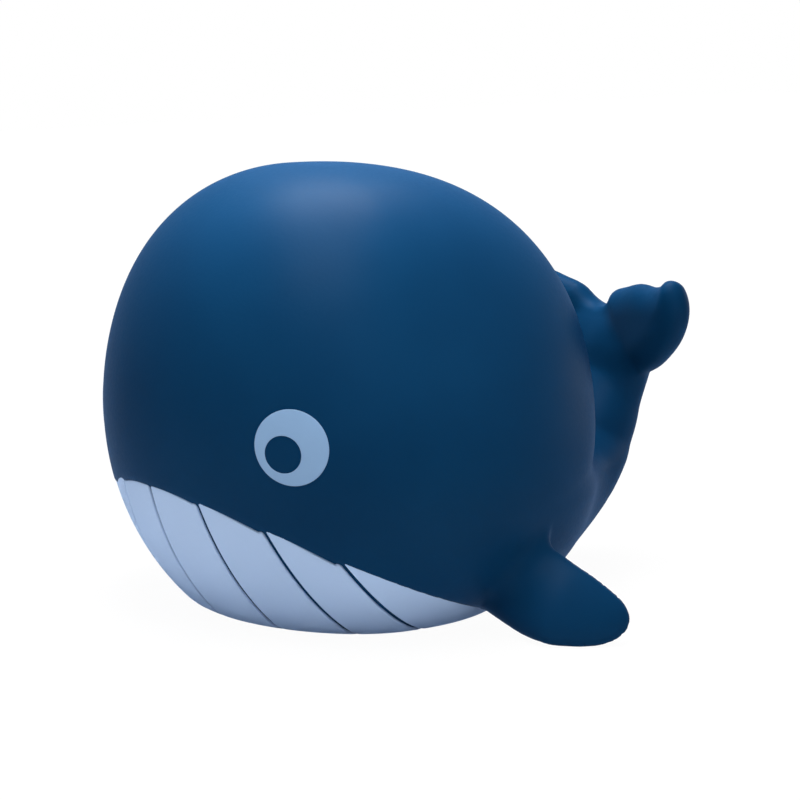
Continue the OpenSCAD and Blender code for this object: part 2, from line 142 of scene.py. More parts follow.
def skin_gap(p):
    """Distance outside the ball's skin: along the ray, and below the flat base, whichever is more."""
    n = np.maximum(np.linalg.norm(p, axis=-1), 1e-6)
    d = p / n[..., None]
    reach = ball_reach(d[..., 0], d[..., 1], d[..., 2])
    return carved(n - reach, -p[..., 2] - ride, base_turn)


# Belly bed: its lip, its rear edge, its depth, and how its wall ramps down across the edge
lip_slope = math.tan(math.radians(21.3))
lip_square = 0.93
lip_bow = 0.117
lip_drop = 27.9
belly_back = 25.7
belly_corner = 0.8
bed_depth = 0.56
bed_edge = (-0.62, 0.32)


def lip_height(x):
    """Height of the belly's front edge at x: a straight slope, bowed upwards by x squared."""
    return x * lip_slope + lip_bow * x * x / nose - lip_drop


def belly_inside(p):
    """How far a point lies inside the belly: below its lip and in front of its rear edge.

    The drop from the lip is taken square to its slope, and the corner between the two edges is
    rounded.
    """
    below = (lip_height(p[..., 0]) - p[..., 2]) * lip_square
    return joined(below, p[..., 0] + belly_back, belly_corner)


def glide(table, s):
    """Smooth curve through the rows of a table: Catmull-Rom cubics, with the end rows repeated."""
    table = np.asarray(table, float)
    top = len(table) - 1
    i = np.clip(np.floor(s).astype(int), 0, top - 1)
    t = (s - i)[:, None]
    a, b = table[np.maximum(i - 1, 0)], table[i]
    c, e = table[i + 1], table[np.minimum(i + 2, top)]
    return (
        b
        + t * (c - a) / 2
        + t * t * (a - 2.5 * b + 2 * c - e / 2)
        + t * t * t * (3 * b - a - 3 * c + e) / 2
    )


# Tail stations: place along and up from the ball's middle, half depth, half width
tail_rows = [
    [-12.9, -15.5, 10.0, 19.6],
    [-29.4, -18.7, 11.0, 19.1],
    [-42.8, -19.8, 11.2, 14.3],
    [-52.5, -17.4, 8.6, 11.5],
    [-58.7, -10.2, 7.7, 10.0],
    [-62.0, -2.7, 6.2, 8.3],
    [-62.1, 3.7, 4.6, 7.4],
    [-62.2, 8.7, 2.2, 5.3],
]
tail_power = 2.2
tail_end = 0.5
tail_end_round = 2.0
tail_samples = 180
tail_line = glide(tail_rows, np.linspace(0, len(tail_rows) - 1, tail_samples))
tail_way = unit(np.gradient(tail_line[:, :2], axis=0))


def tail_frame(x, z):
    """Where a point lies on the tail: up from its line, half depth and width there, and past an end.

    The line bends in the middle plane only, so its nearest sample depends on x and z alone.
    """
    flat = np.stack([x, z], -1)
    spread = flat[..., None, :] - tail_line[:, :2]
    i = np.argmin((spread * spread).sum(-1), -1)
    off = flat - tail_line[i, :2]
    along = (off * tail_way[i]).sum(-1)
    up = off[..., 1] * tail_way[i, 0] - off[..., 0] * tail_way[i, 1]
    step = np.linalg.norm(tail_line[1, :2] - tail_line[0, :2])
    s = np.clip(i + along / step, 0, len(tail_line) - 1)
    deep = np.interp(s, np.arange(len(tail_line)), tail_line[:, 2])
    wide = np.interp(s, np.arange(len(tail_line)), tail_line[:, 3])
    past = np.where((i == 0) | (i == len(tail_line) - 1), np.abs(along), 0)
    return np.stack([up, deep, wide, past], -1)


def oval_gap(u, v, half_u, half_v, power):
    """Distance outside a superellipse, measured along the ray from its middle."""
    q = np.maximum(np.hypot(u, v), 1e-4)
    rho = (np.abs(u / half_u) ** power + np.abs(v / half_v) ** power) ** (1 / power)
    return q * (1 - 1 / np.maximum(rho, 1e-6))


# Fluke outline: one lobe, across from the middle and up from the ball's middle
lobe_points = [
    [-5.1, -0.5],
    [-3.9, 3.8],
    [-0.5, 7.2],
    [2.8, 9.4],
    [4.8, 13.0],
    [9.4, 14.5],
    [13.8, 15.5],
    [17.8, 15.4],
    [20.7, 16.0],
    [23.0, 17.2],
    [25.2, 16.7],
    [26.4, 13.8],
    [25.7, 10.3],
    [22.9, 6.4],
    [18.4, 2.8],
    [13.2, -0.1],
    [5.8, -2.3],
    [-1.5, -2.5],
]
lobe_samples = 145
wrapped = lobe_points[-2:] + lobe_points + lobe_points[:3]
lobe_edge = glide(wrapped, np.linspace(2, 2 + len(lobe_points), lobe_samples))
notch_soft = 0.9
fluke_half = 3.3
fluke_round = 5.2
fluke_place = -63.7
fluke_lean = 0.2
fluke_sweep = 0.13
sweep_round = 2.0


def lobe_gap(y, z):
    """Signed distance to one lobe's outline: to its nearest chord, negative inside."""
    a, b = lobe_edge[:-1], lobe_edge[1:]
    e = b - a
    w = np.stack([y, z], -1)[..., None, :] - a
    t = np.clip((w * e).sum(-1) / (e * e).sum(-1), 0, 1)
    far = np.linalg.norm(w - t[..., None] * e, axis=-1).min(-1)
    above = a[:, 1] > z[..., None]
    crossed = above != (b[:, 1] > z[..., None])
    at = a[:, 0] + (z[..., None] - a[:, 1]) * e[:, 0] / np.where(e[:, 1] == 0, 1e-9, e[:, 1])
    inside = (crossed & (y[..., None] < at)).sum(-1) % 2 == 1
    return np.where(inside, -far, far)


def heart_gap(y, z):
    """Signed distance to both lobes together, with a soft notch between them."""
    return joined(lobe_gap(y, z), lobe_gap(-y, z), notch_soft)


def fluke_gap(x, y, z, heart):
    """Distance outside a pillow over the heart: its rim is half an ellipse, its middle is flat.

    The pillow's middle sheet leans with height, and its sides sweep forward along a hyperbola.
    """
    swept = fluke_sweep * (np.sqrt(y * y + sweep_round**2) - sweep_round)
    off = (x - (fluke_place + fluke_lean * z + swept)) / fluke_half
    rim = np.maximum(heart + fluke_round, 0) / fluke_round
    return fluke_half * (np.hypot(off, rim) - 1)


# Flipper stations: out from the middle, place along and up from the ball's middle, half length,
# half thickness, pitch in degrees
flipper_rows = [
    [22.1, -16.2, -24.1, 7.7, 5.1, 66.0],
    [30.1, -16.3, -25.6, 7.6, 4.5, 67.0],
    [36.0, -16.4, -27.0, 7.5, 4.0, 65.0],
    [40.4, -16.9, -28.4, 7.2, 3.6, 60.0],
    [45.0, -17.9, -29.7, 6.7, 3.3, 52.0],
    [48.5, -20.6, -31.1, 6.3, 3.3, 47.0],
    [52.1, -24.6, -32.8, 6.7, 3.8, 42.0],
]
flipper_samples = 400
flipper_line = glide(flipper_rows, np.linspace(0, len(flipper_rows) - 1, flipper_samples))
flipper_tip_from = 45.0
flipper_tip_long = 7.1


def flipper_gap(x, y, z):
    """Distance outside tilted ellipses whose place, size and pitch are read at the point's |y|.

    From flipper_tip_from outwards they shrink as the slices of an ellipsoid do, which closes the
    tip. Also gives how far along and how far up its ellipse the point lies, as shares of its halves.
    """
    out = np.abs(y)
    middle_x, middle_z, length, thick, pitch = (
        np.interp(out, flipper_line[:, 0], flipper_line[:, k]) for k in range(1, 6)
    )
    pitch = np.radians(pitch)
    a = (x - middle_x) * np.cos(pitch) - (z - middle_z) * np.sin(pitch)
    b = (x - middle_x) * np.sin(pitch) + (z - middle_z) * np.cos(pitch)
    tip = np.maximum(out - flipper_tip_from, 0)
    far = np.sqrt(a * a + b * b + tip * tip)
    rho = (a / length) ** 2 + (b / thick) ** 2 + (tip / flipper_tip_long) ** 2
    gap = far * (1 - 1 / np.sqrt(np.maximum(rho, 1e-6)))
    return gap, a / length, b / thick


# Limits of the space that tail, flukes and flippers can reach
tail_front = 14.0
tail_top = 14.0
fluke_front = -45.0
fluke_side = 32.0
fluke_foot = -9.0
fluke_top = 24.0
flipper_inside = 18.0
flipper_before = 20.0

# Fillets: how soft each limb joins the ball, and between which bounds a fillet grows or fades
tail_soft = 3.0
tail_low_soft = 19.0
tail_low = (5.0, 17.0)
tail_off_belly = (-8.0, 0.0)
fluke_soft = 4.0
flipper_soft = 1.0
flipper_face_soft = 4.0
flipper_face = (-0.4, 0.6)
flipper_front = (0.3, 0.8)


def body_gap(p, heart=None, line=None):
    """Distance outside the whole body: ball and tail less the belly's bed, then flukes and flippers.

    The tail is a tube of superellipse sections swept along its line. Its fillet is wide low down,
    and narrow again near the belly. A flipper's fillet is wide on its face, not along its front
    edge. Each limb is worked out only where it can reach, and nothing goes below the flat base.
    """
    x, y, z = p[..., 0], p[..., 1], p[..., 2]
    total = skin_gap(p)
    inside = belly_inside(p)
    near = (x < tail_front) & (z < tail_top)
    if near.any():
        up, deep, wide, past = np.moveaxis(
            tail_frame(x[near], z[near]) if line is None else line[near], -1, 0
        )
        tube = oval_gap(up, y[near], deep, wide, tail_power)
        tail = carved(tube, past - tail_end, tail_end_round)
        share = ramp(-z[near], *tail_low) * (1 - ramp(inside[near], *tail_off_belly))
        total[near] = joined(total[near], tail, tail_soft + tail_low_soft * share)
    total = total + bed_depth * ramp(inside, *bed_edge)
    near = (x < fluke_front) & (np.abs(y) < fluke_side) & (z > fluke_foot) & (z < fluke_top)
    if near.any():
        h = heart_gap(y[near], z[near]) if heart is None else heart[near]
        fluke = fluke_gap(x[near], y[near], z[near], h)
        total[near] = joined(total[near], fluke, fluke_soft)
    near = (np.abs(y) > flipper_inside) & (x < flipper_before) & (z < 0)
    if near.any():
        fin, along, face = flipper_gap(x[near], y[near], z[near])
        share = ramp(face, *flipper_face) * (1 - ramp(along, *flipper_front))
        total[near] = joined(total[near], fin, flipper_soft + flipper_face_soft * share)
    return np.maximum(total, -z - ride)


def sampled_body(axes):
    """body_gap at every corner of a grid, one slice across the whale at a time."""
    grid = np.stack(np.meshgrid(axes[1], axes[2], indexing="ij"), -1)
    heart = heart_gap(grid[..., 0], grid[..., 1])
    field = np.empty([len(a) for a in axes], np.float32)
    for i, x in enumerate(axes[0]):
        p = np.concatenate([np.full(grid.shape[:2] + (1,), x), grid], -1)
        line = tail_frame(np.full(len(axes[2]), x), axes[2])
        field[i] = body_gap(p, heart, np.broadcast_to(line, grid.shape[:2] + (4,)))
    return field


def crossed_cells(solid):
    """Grid cells that have corners on both sides of the surface."""
    rows, cols, layers = (n - 1 for n in solid.shape)
    count = np.zeros((rows, cols, layers), np.int8)
    for i, j, k in np.ndindex(2, 2, 2):
        count += solid[i : rows + i, j : cols + j, k : layers + k]
    return np.argwhere((count > 0) & (count < 8))


def cell_points(field, cells):
    """One point in each cell, in steps of the grid: the mean of the crossings on its edges."""
    total = np.zeros((len(cells), 3))
    hits = np.zeros(len(cells))
    for corner in np.ndindex(2, 2, 2):
        for axis in range(3):
            if corner[axis]:
                continue
            a = np.array(corner)
            way = np.eye(3, dtype=int)[axis]
            va = field[tuple((cells + a).T)].astype(float)
            vb = field[tuple((cells + a + way).T)].astype(float)
            cut = (va < 0) != (vb < 0)
            t = np.where(cut, va / np.where(cut, va - vb, 1), 0)
            total += np.where(cut[:, None], a + t[:, None] * way, 0)
            hits += cut
    return cells + total / hits[:, None]


def net_quads(solid, number):
    """One outward quad for each crossed edge of the grid, between the four cells round it."""
    quads = []
    for axis in range(3):
        ahead = [slice(None)] * 3
        behind = [slice(None)] * 3
        ahead[axis] = slice(1, None)
        behind[axis] = slice(None, -1)
        first, second = solid[tuple(behind)], solid[tuple(ahead)]
        edges = np.argwhere(first != second)
        outward = first[tuple(edges.T)]
        j, k = (axis + 1) % 3, (axis + 2) % 3
        sides = []
        for dj, dk in ((-1, -1), (0, -1), (0, 0), (-1, 0)):
            c = edges.copy()
            c[:, j] += dj
            c[:, k] += dk
            sides.append(number[tuple(c.T)])
        quad = np.stack(sides, -1)
        quad[~outward] = quad[~outward][:, ::-1]
        quads.append(quad)
    return np.concatenate(quads)


def settled(points, longest):
    """Points after three steps down the slope of body_gap, each step no longer than a bound."""
    nudge = 0.02
    least_slope = 0.2
    for _ in range(3):
        here = body_gap(points)
        slope = np.stack([(body_gap(points + nudge * s) - here) / nudge for s in np.eye(3)], -1)
        steep = np.maximum((slope * slope).sum(-1, keepdims=True), least_slope)
        step = here[:, None] * slope / steep
        far = np.linalg.norm(step, axis=-1, keepdims=True)
        points = points - step * np.minimum(1, longest / np.maximum(far, 1e-9))
    return points


def surface_net(low, high, pitch):
    """Closed quad mesh where body_gap is zero, in a box filled with a cubic grid."""
    axes = [np.arange(a, b + pitch, pitch) for a, b in zip(low, high)]
    field = sampled_body(axes)
    solid = field < 0
    cells = crossed_cells(solid)
    number = np.full([n - 1 for n in solid.shape], -1, np.int64)
    number[tuple(cells.T)] = np.arange(len(cells))
    points = cell_points(field, cells) * pitch + [a[0] for a in axes]
    return settled(points, 0.5 * pitch), net_quads(solid, number)


def new_piece(name, points, faces, smooth=True):
    """Mesh object at the origin from points in millimetres, measured in the frame."""
    mesh = bpy.data.meshes.new(name)
    mesh.from_pydata((np.asarray(points) * mm).tolist(), [], [list(f) for f in faces])
    mesh.polygons.foreach_set("use_smooth", [smooth] * len(mesh.polygons))
    mesh.update()
    piece = bpy.data.objects.new(name, mesh)
    bpy.context.scene.collection.objects.link(piece)
    return piece


def circle(turns):
    """Unit circle as rows of (cosine, sine), evenly spaced round one turn."""
    around = 2 * np.pi * np.arange(turns) / turns
    return np.stack([np.cos(around), np.sin(around)], -1)


def post(name, steps, middle, turns):
    """Closed turned solid through steps of (radius, height), from its foot up, with flat ends."""
    steps = np.array(steps, float)
    flat = steps[:, None, :1] * circle(turns) + np.array(middle)
    high = np.broadcast_to(steps[:, None, 1:], (len(steps), turns, 1))
    points = np.concatenate([flat, high], -1).reshape(-1, 3)
    row, k = np.meshgrid(np.arange(len(steps) - 1), np.arange(turns), indexing="ij")
    a, b = row * turns + k, row * turns + (k + 1) % turns
    walls = np.stack([a, b, b + turns, a + turns], -1).reshape(-1, 4)
    foot = list(range(turns))[::-1]
    top = [turns * (len(steps) - 1) + k for k in range(turns)]
    return new_piece(name, points, [foot, top, *walls.tolist()], smooth=False)


def cut_by(piece, tool):
    """Takes the tool's volume out of a piece and throws the tool away."""
    cut = piece.modifiers.new("cut", "BOOLEAN")
    cut.operation = "DIFFERENCE"
    cut.solver = "MANIFOLD"
    cut.object = tool
    bpy.context.view_layer.update()
    done = bpy.data.meshes.new_from_object(
        piece.evaluated_get(bpy.context.evaluated_depsgraph_get())
    )
    piece.modifiers.clear()
    old = piece.data
    piece.data = done
    done.name = old.name
    done.materials.clear()
    bpy.data.meshes.remove(old)
    bpy.data.objects.remove(tool)


def node_of(tree, kind, **inputs):
    """Shader node of a kind with its sockets set, or linked where the value is another socket.

    A socket is given by its name, with _ for a space, or by its number after a _.
    """
    node = tree.nodes.new(kind)
    for key, value in inputs.items():
        socket = node.inputs[int(key[1:])] if key[0] == "_" and key[1:].isdigit() else None
        socket = socket or node.inputs[key.replace("_", " ")]
        if isinstance(value, bpy.types.NodeSocket):
            tree.links.new(value, socket)
        else:
            socket.default_value = value
    return node


def linear(colour):
    """Screen colour from 0 to 255 as the linear values that a shader takes."""
    c = np.array(colour, float) / 255
    c = np.where(c <= 0.04045, c / 12.92, ((c + 0.055) / 1.055) ** 2.4)
    return (*c.tolist(), 1.0)


def moulded(name, dark, light, rough, specular, grain, bump, metal=0.0):
    """Moulded surface: two close shades in slow clouds, fine grain in the gloss and the bump."""
    material = bpy.data.materials.new(name)
    material.use_nodes = True
    tree = material.node_tree
    shader = tree.nodes["Principled BSDF"]
    place = tree.nodes.new("ShaderNodeTexCoord").outputs["Object"]
    cloud_scale = 38.0
    gloss_play = 0.03
    clouds = node_of(tree, "ShaderNodeTexNoise", Vector=place, Scale=cloud_scale, Detail=2.0)
    shade = tree.nodes.new("ShaderNodeValToRGB")
    shade.color_ramp.elements[0].color = linear(dark)
    shade.color_ramp.elements[0].position = 0.35
    shade.color_ramp.elements[1].color = linear(light)
    shade.color_ramp.elements[1].position = 0.65
    tree.links.new(clouds.outputs["Fac"], shade.inputs["Fac"])
    tree.links.new(shade.outputs["Color"], shader.inputs["Base Color"])
    fine = node_of(tree, "ShaderNodeTexNoise", Vector=place, Scale=grain, Detail=3.0)
    gloss = node_of(
        tree,
        "ShaderNodeMapRange",
        Value=fine.outputs["Fac"],
        From_Min=0.3,
        From_Max=0.7,
        To_Min=rough - gloss_play,
        To_Max=rough + gloss_play,
    )
    tree.links.new(gloss.outputs["Result"], shader.inputs["Roughness"])
    relief = node_of(
        tree, "ShaderNodeBump", Height=fine.outputs["Fac"], Strength=bump, Distance=0.0001
    )
    tree.links.new(relief.outputs["Normal"], shader.inputs["Normal"])
    shader.inputs["Specular IOR Level"].default_value = specular
    shader.inputs["Metallic"].default_value = metal
    return material


net_low = (-70.0, -53.2, -37.2)
net_high = (36.5, 53.2, 41.5)
points, quads = surface_net(net_low, net_high, net_pitch)
body = new_piece("body_shell_skin", points + ball_middle, quads)

# Pocket for the squeaker: a wide step that its flange stands in, and room for its sleeve above
squeaker_middle = (10.65, 0.0)
step_radius = 10.9
step_high = 1.9
hole_radius = 9.5
hole_high = 15.0
below_base = -1.0
pocket = [
    (step_radius, below_base),
    (step_radius, step_high),
    (hole_radius, step_high),
    (hole_radius, hole_high),
]
cut_by(body, post("hole_tool", pocket, squeaker_middle, turns=96))
body.data.set_sharp_from_angle(angle=math.radians(40))
navy = moulded(
    "navy_vinyl",
    dark=(6, 48, 81),
    light=(8, 52, 86),
    rough=0.45,
    specular=0.028,
    grain=1500.0,
    bump=0.2,
)
body.data.materials.append(navy)
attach(body, "whale")
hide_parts("body_shell")

# Belly: eight strips of pale flexible paint laid in the bed between moulded grooves. Each strip
# has its own rolled edge, and rounded corners where a groove meets the lip.
lean = math.radians(42.8)
groove_axis = np.array([math.sin(lean), 0.0, math.cos(lean)])
groove_front = np.array([math.cos(lean), 0.0, -math.sin(lean)])

# Grooves: how many on each side of the middle one, their turns in degrees, half a groove's width
grooves_aside = 3
groove_step = 20.0
groove_closing = 0.0192
groove_offset = 1.6
groove_half = 0.31
belly_turn = 78.2
belly_side_clear = 0.1
mean_reach = 38.0

# Strips: steps in from a rim, rows and columns between them, and how deep the top, the edge and
# the underside of the paint lie below the skin
strip_edges = np.array([0.0, 0.03, 0.08, 0.15, 0.25, 0.45, 0.8])
strip_inner_cols = 14
strip_inner_rows = 70
paint_top = 0.17
paint_edge = 0.46
paint_bottom = 0.64
corner_round = 0.55
seat_radius = 10.3
seat_high = 3.0

# Bounds and counts of the halvings that find the skin and the lip
skin_nearest = 20.0
skin_farthest = 60.0
skin_halvings = 30
lip_highest = 40.0
lip_halvings = 26


def groove_turn(g):
    """Turn of groove g in degrees: even steps that close up a little towards the sides.

    The whole fan sits a little to the left of the middle plane, as it does on the toy.
    """
    return groove_offset + groove_step * g * (1 - groove_closing * g * g)


def aim(turn, lat):
    """Direction at a turn round the leaning groove axis and a latitude above its equator."""
    t, a = np.radians(turn)[..., None], np.radians(lat)[..., None]
    aside = np.array([0.0, 1.0, 0.0])
    return (
        np.cos(a) * (np.cos(t) * groove_front + np.sin(t) * aside)
        + np.sin(a) * groove_axis
    )


def skin_reach(d):
    """Distance along a direction to the skin before the bed, found by halving."""
    low = np.full(d.shape[:-1], skin_nearest)
    high = np.full(d.shape[:-1], skin_farthest)
    for _ in range(skin_halvings):
        middle = (low + high) / 2
        out = skin_gap(d * middle[..., None]) > 0
        low, high = np.where(out, low, middle), np.where(out, middle, high)
    return (low + high) / 2


def rear_lat(turn):
    """Latitude where a turn crosses the belly's straight rear edge on the base."""
    reach = ride * math.tan(lean) - belly_back
    across = reach * np.tan(np.radians(turn)) * math.cos(lean)
    p = np.stack([np.full_like(turn, -belly_back), across, np.full_like(turn, -ride)], -1)
    return np.degrees(np.arcsin(unit(p) @ groove_axis))


def lip_lat(turn):
    """Latitude where a turn reaches the lip, found by halving above the rear edge."""
    low = rear_lat(turn) + 1
    high = np.full_like(turn, lip_highest)
    for _ in range(lip_halvings):
        middle = (low + high) / 2
        d = aim(turn, middle)
        p = d * skin_reach(d)[..., None]
        over = p[..., 2] > lip_height(p[..., 0])
        low, high = np.where(over, low, middle), np.where(over, middle, high)
    return high


def roll(off, radius):
    """How far a rolled edge of a radius has still to rise at a distance in from its foot."""
    t = np.clip(1 - off / radius, 0, 1)
    return radius * (1 - np.sqrt(1 - t * t))


def crowded(low, high, edge, inner):
    """Values from low to high: by the steps in edge at both ends, and by the shares between."""
    start, end = low + edge, high - edge[..., ::-1]
    between = start[..., -1:] + (end[..., :1] - start[..., -1:]) * inner
    return np.concatenate([start, between, end], -1)


def from_rim(edge, count):
    """Distance in from the nearer rim for each of the crowded values, as far as edge goes."""
    return np.concatenate([edge, np.full(count, edge[-1]), edge[::-1]])


def shares(count):
    """Even shares between 0 and 1, both left out."""
    return np.linspace(0, 1, count + 2)[1:-1]


def two_sheets(outer, inner):
    """Outer and inner sheet of the same grid as one closed mesh, joined round their rim."""
    m, n = outer.shape[:2]
    points = np.concatenate([outer.reshape(-1, 3), inner.reshape(-1, 3)])
    number = np.arange(m * n).reshape(m, n)
    a, b = number[:-1, :-1], number[1:, :-1]
    c, e = number[1:, 1:], number[:-1, 1:]
    top = np.stack([a, b, c, e], -1).reshape(-1, 4)
    rim = np.concatenate(
        [number[:, 0], number[-1, 1:], number[-2::-1, -1], number[0, -2:0:-1]]
    )
    ahead = np.roll(rim, -1)
    wall = np.stack([rim, rim + m * n, ahead + m * n, ahead], -1)
    return points, np.concatenate([top, top[:, ::-1] + m * n, wall])


def paint_strip(left, left_off, right, right_off):
    """One strip between two turns, each moved aside by an offset in millimetres.

    Columns run from one groove's edge to the next and rows from the rear edge to the lip, both
    crowded at the ends, where the outer sheet rolls down into the bed.
    """
    per_mm = np.degrees(1 / mean_reach)
    inner = shares(strip_inner_cols)
    turns = crowded(left, right, 0 * strip_edges, inner)
    offs = crowded(left_off, right_off, strip_edges, inner)
    from_side = from_rim(strip_edges, strip_inner_cols)
    from_end = from_rim(strip_edges, strip_inner_rows)
    pulled = roll(from_side, corner_round) * per_mm
    low, high = rear_lat(turns) + pulled, lip_lat(turns) - pulled
    lats = crowded(low[:, None], high[:, None], strip_edges * per_mm, shares(strip_inner_rows))
    turned = np.broadcast_to(turns[:, None], lats.shape)
    wide = skin_reach(aim(turned, lats)) * np.cos(np.radians(lats))
    d = aim(turned + np.degrees(np.arcsin(offs[:, None] / wide)), lats)
    reach = skin_reach(d)
    edge_round = paint_edge - paint_top
    rolled = np.maximum(
        roll(from_side, edge_round)[:, None], roll(from_end, edge_round)[None, :]
    )
    return two_sheets(
        d * (reach - paint_top - rolled)[..., None], d * (reach - paint_bottom)[..., None]
    )


groove_turns = [groove_turn(g) for g in range(-grooves_aside, grooves_aside + 1)]
strip_turns = [-belly_turn, *groove_turns, belly_turn]
strip_offs = [belly_side_clear, *[groove_half] * len(groove_turns), belly_side_clear]
strip_points, strip_faces, count = [], [], 0
for k in range(len(strip_turns) - 1):
    p, f = paint_strip(strip_turns[k], strip_offs[k], strip_turns[k + 1], -strip_offs[k + 1])
    strip_points.append(p + ball_middle)
    strip_faces.append(f + count)
    count += len(p)
belly = new_piece("belly_paint", np.concatenate(strip_points), np.concatenate(strip_faces))
seat = [(seat_radius, below_base), (seat_radius, seat_high)]
cut_by(belly, post("seat_tool", seat, squeaker_middle, turns=144))
belly.data.set_sharp_from_angle(angle=math.radians(50))
pale = moulded(
    "belly_paint",
    dark=(171, 195, 229),
    light=(175, 199, 233),
    rough=0.55,
    specular=0.06,
    grain=900.0,
    bump=0.2,
)
belly.data.materials.append(pale)
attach(belly, "whale")
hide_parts("belly_panels")

# Eyes: a pale disc of ink with an open pupil, printed on each cheek by a soft pad. The navy skin
# shows through the pupil.
eye_turn = math.radians(51)
eye_drop = 1.9
eye_disc = 6.03
pupil_disc = 2.95
pupil_off = 1.2
eye_steps = 180
ink_edges = np.array([0.0, 0.03, 0.08, 0.16, 0.35])
ink_inner_rings = 6
ink_high = 0.07
ink_round = 0.12
ink_deep = 0.2


def ring_quads(m, n):
    """Quads of a grid of m by n points that closes on itself both ways."""
    i, j = np.meshgrid(np.arange(m), np.arange(n), indexing="ij")
    a, b = i * n + j, i * n + (j + 1) % n
    c, e = ((i + 1) % m) * n + (j + 1) % n, ((i + 1) % m) * n + j
    return np.stack([a, e, c, b], -1).reshape(-1, 4)


def eye_print(name, side):
    """Ring of ink: an outer sheet that rolls down into the skin at both edges, and a sheet below.

    A point at share s of the way from the pupil's edge to the disc's edge lies on the straight
    line between them, on a plane that touches the cheek, and drops from there onto the skin.
    """
    out = np.array([math.cos(eye_turn), math.sin(eye_turn), 0.0])
    middle = unit(ball_reach(*out) * out - [0, 0, eye_drop])
    aside = unit(np.array([-middle[1], middle[0], 0]))
    up = np.cross(middle, aside)
    pupil = pupil_disc * circle(eye_steps) - pupil_off
    edge = eye_disc * circle(eye_steps)
    width = np.linalg.norm(edge - pupil, axis=-1)[:, None]
    share = crowded(0.0, 1.0, ink_edges / width, shares(ink_inner_rings))
    lift = ink_high - roll(from_rim(ink_edges, ink_inner_rings), ink_round)
    flat = pupil[:, None] + (edge - pupil)[:, None] * share[..., None]
    d = unit(middle * ball_reach(*middle) + flat[..., :1] * aside + flat[..., 1:] * up)
    skin = ball_reach(d[..., 0], d[..., 1], d[..., 2])
    outer = d * (skin + lift)[..., None]
    under = d * (skin - ink_deep)[..., None]
    points = np.concatenate([outer, under[:, ::-1]], 1)
    faces = ring_quads(*points.shape[:2])
    if side > 0:
        faces = faces[:, [0, 3, 2, 1]]
    return new_piece(name, points.reshape(-1, 3) * [1, side, 1] + ball_middle, faces)


eye_ink = moulded(
    "eye_ink",
    dark=(131, 163, 199),
    light=(135, 168, 203),
    rough=0.5,
    specular=0.1,
    grain=1200.0,
    bump=0.15,
)
for name, side, node in (
    ("left_eye_ink", 1, "left_eye_print"),
    ("right_eye_ink", -1, "right_eye_print"),
):
    eye = eye_print(name, side)
    eye.data.materials.append(eye_ink)
    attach(eye, "whale")
    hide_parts(node)

# Squeaker: a milky plug of soft plastic, moulded in one piece. Its lip snaps into the hole in
# the base, its flange closes the seat, and air blows through the hole in its face.
face_low = 0.5
face_high = 2.0
sound_hole = 2.5
flange = 10.0
flange_top = 1.7
neck = 8.07
snap_low = 4.3
snap_lip = 9.2
sleeve = 6.8
sleeve_foot = 5.9
sleeve_top = 13.5
bore = 4.93
plug_profile = [
    (sound_hole, face_high),
    (sound_hole, face_low + 0.3),
    (sound_hole + 0.08, face_low + 0.08),
    (sound_hole + 0.3, face_low),
    (flange - 0.3, face_low),
    (flange - 0.09, face_low + 0.09),
    (flange, face_low + 0.3),
    (flange, flange_top - 0.2),
    (flange - 0.1, flange_top - 0.04),
    (flange - 0.3, flange_top),
    (neck, flange_top),
    (neck, snap_low),
    (snap_lip - 0.15, snap_low),
    (snap_lip, snap_low + 0.12),
    (snap_lip - 0.05, snap_low + 0.3),
    (sleeve, sleeve_foot),
    (sleeve, sleeve_top - 0.3),
    (sleeve - 0.1, sleeve_top - 0.05),
    (sleeve - 0.3, sleeve_top),
    (bore + 0.27, sleeve_top),
    (bore + 0.05, sleeve_top - 0.1),
    (bore, sleeve_top - 0.3),
    (bore, face_high),
]


def lathe(name, profile, middle, turns):
    """Closed ring of a profile of (radius, height) turned round a vertical axis in the frame."""
    profile = np.array(profile, float)
    flat = profile[:, :1] * circle(turns)[:, None, :] + np.array(middle)
    high = np.broadcast_to(profile[:, 1:], (turns, len(profile), 1))
    points = np.concatenate([flat, high], -1).reshape(-1, 3)
    return new_piece(name, points, ring_quads(turns, len(profile)))


plug = lathe("squeaker_plug_turned", plug_profile, squeaker_middle, turns=96)
plug.data.set_sharp_from_angle(angle=math.radians(35))
milky = moulded(
    "plug_plastic",
    dark=(224, 224, 218),
    light=(230, 230, 225),
    rough=0.5,
    specular=0.4,
    grain=800.0,
    bump=0.2,
)
plug.data.materials.append(milky)
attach(plug, "whale")
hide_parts("squeaker_plug")

# Whistle: a hard glossy rod in two halves, pressed into the plug. The wedge clamps the reed
# against the trough, which carries the air channel.


def coat(node, material):
    """Gives a solid that is shown as it stands its own material."""
    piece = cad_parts[node]
    piece.data.materials.clear()
    piece.data.materials.append(material)


glossy = moulded(
    "whistle_plastic",
    dark=(221, 221, 214),
    light=(229, 229, 224),
    rough=0.25,
    specular=0.5,
    grain=500.0,
    bump=0.1,
)
coat("whistle_trough", glossy)
coat("whistle_wedge", glossy)

# Reed: one strip of thin rolled brass, held at its root in the clamp. Its tongue reaches down
# beside the trough and beats when air blows past it, so root and tongue move apart.
brass = moulded(
    "reed_brass",
    dark=(196, 152, 84),
    light=(206, 163, 92),
    rough=0.3,
    specular=0.5,
    grain=2500.0,
    bump=0.1,
    metal=1.0,
)
coat("reed_root", brass)
coat("reed_tongue", brass)

